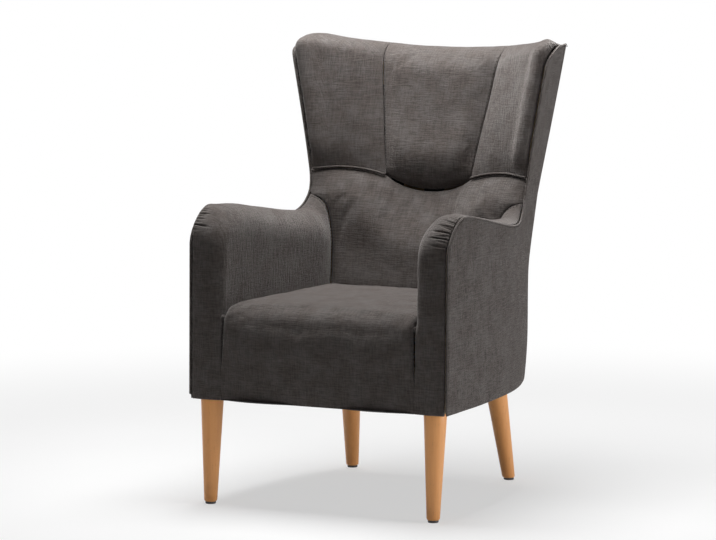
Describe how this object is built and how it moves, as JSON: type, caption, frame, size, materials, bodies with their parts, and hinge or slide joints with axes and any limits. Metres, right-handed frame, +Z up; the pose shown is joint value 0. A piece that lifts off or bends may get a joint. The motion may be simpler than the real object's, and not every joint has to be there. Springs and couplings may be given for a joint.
{
  "type": "armchair",
  "caption": "Upholstered wing armchair with a fixed seat and back, padded rolled arms with piped edges, and raked tapered wooden legs",
  "frame": {"origin": "on the floor, under the middle of the chair's own width and depth", "axes": "+Z up, +X to the sitter's left, +Y from the front of the chair to its back"},
  "size_m": [0.66, 0.7626, 1.0323],
  "materials": {
    "velvet": "charcoal grey-brown velvet with a fine woven grain",
    "foam": "upholstery foam, hidden under the covers",
    "lining_cloth": "black lining cloth under the seat",
    "leg_wood": "warm orange-tan lacquered hardwood",
    "frame_wood": "bare hardwood and plywood of the hidden frame",
    "spring_steel": "spring wire",
    "bolt_steel": "zinc-plated bolt",
    "glide_nylon": "dark nylon glide",
    "webbing": "dark elastic webbing"
  },
  "bodies": {
    "root": {"arm_cover_left": "velvet", "arm_cover_right": "velvet", "arm_front_pad_left": "foam", "arm_front_pad_right": "foam", "arm_pad_left": "foam", "arm_pad_right": "foam", "lumbar_cover": "velvet", "lumbar_pad": "foam", "head_cover": "velvet", "head_pad": "foam", "wing_cover_left": "velvet", "wing_cover_right": "velvet", "wing_pad_left": "foam", "wing_pad_right": "foam", "seat_cover": "velvet", "seat_pad": "foam", "outside_cover_left": "velvet", "outside_cover_right": "velvet", "outside_back": "velvet", "dust_cover": "lining_cloth", "welt_left": "velvet", "welt_right": "velvet", "arm_board_left": "frame_wood", "arm_board_right": "frame_wood", "wing_board_left": "frame_wood", "wing_board_right": "frame_wood", "arm_rail_left": "frame_wood", "arm_rail_right": "frame_wood", "seat_rail_left": "frame_wood", "seat_rail_right": "frame_wood", "seat_rail_front": "frame_wood", "seat_rail_rear": "frame_wood", "back_post_left": "frame_wood", "back_post_right": "frame_wood", "tuck_rail": "frame_wood", "waist_rail": "frame_wood", "crest_rail": "frame_wood", "back_web_1": "webbing", "back_web_2": "webbing", "back_web_3": "webbing", "seat_spring_1": "spring_steel", "seat_spring_2": "spring_steel", "seat_spring_3": "spring_steel", "seat_spring_4": "spring_steel", "corner_block_front_left": "frame_wood", "corner_block_front_right": "frame_wood", "corner_block_rear_left": "frame_wood", "corner_block_rear_right": "frame_wood", "leg_front_left": "leg_wood", "leg_front_right": "leg_wood", "glide_front_left": "glide_nylon", "glide_front_right": "glide_nylon", "hanger_bolt_front_left": "bolt_steel", "hanger_bolt_front_right": "bolt_steel", "leg_rear_left": "leg_wood", "leg_rear_right": "leg_wood", "glide_rear_left": "glide_nylon", "glide_rear_right": "glide_nylon", "hanger_bolt_rear_left": "bolt_steel", "hanger_bolt_rear_right": "bolt_steel"}
  },
  "joints": []
}
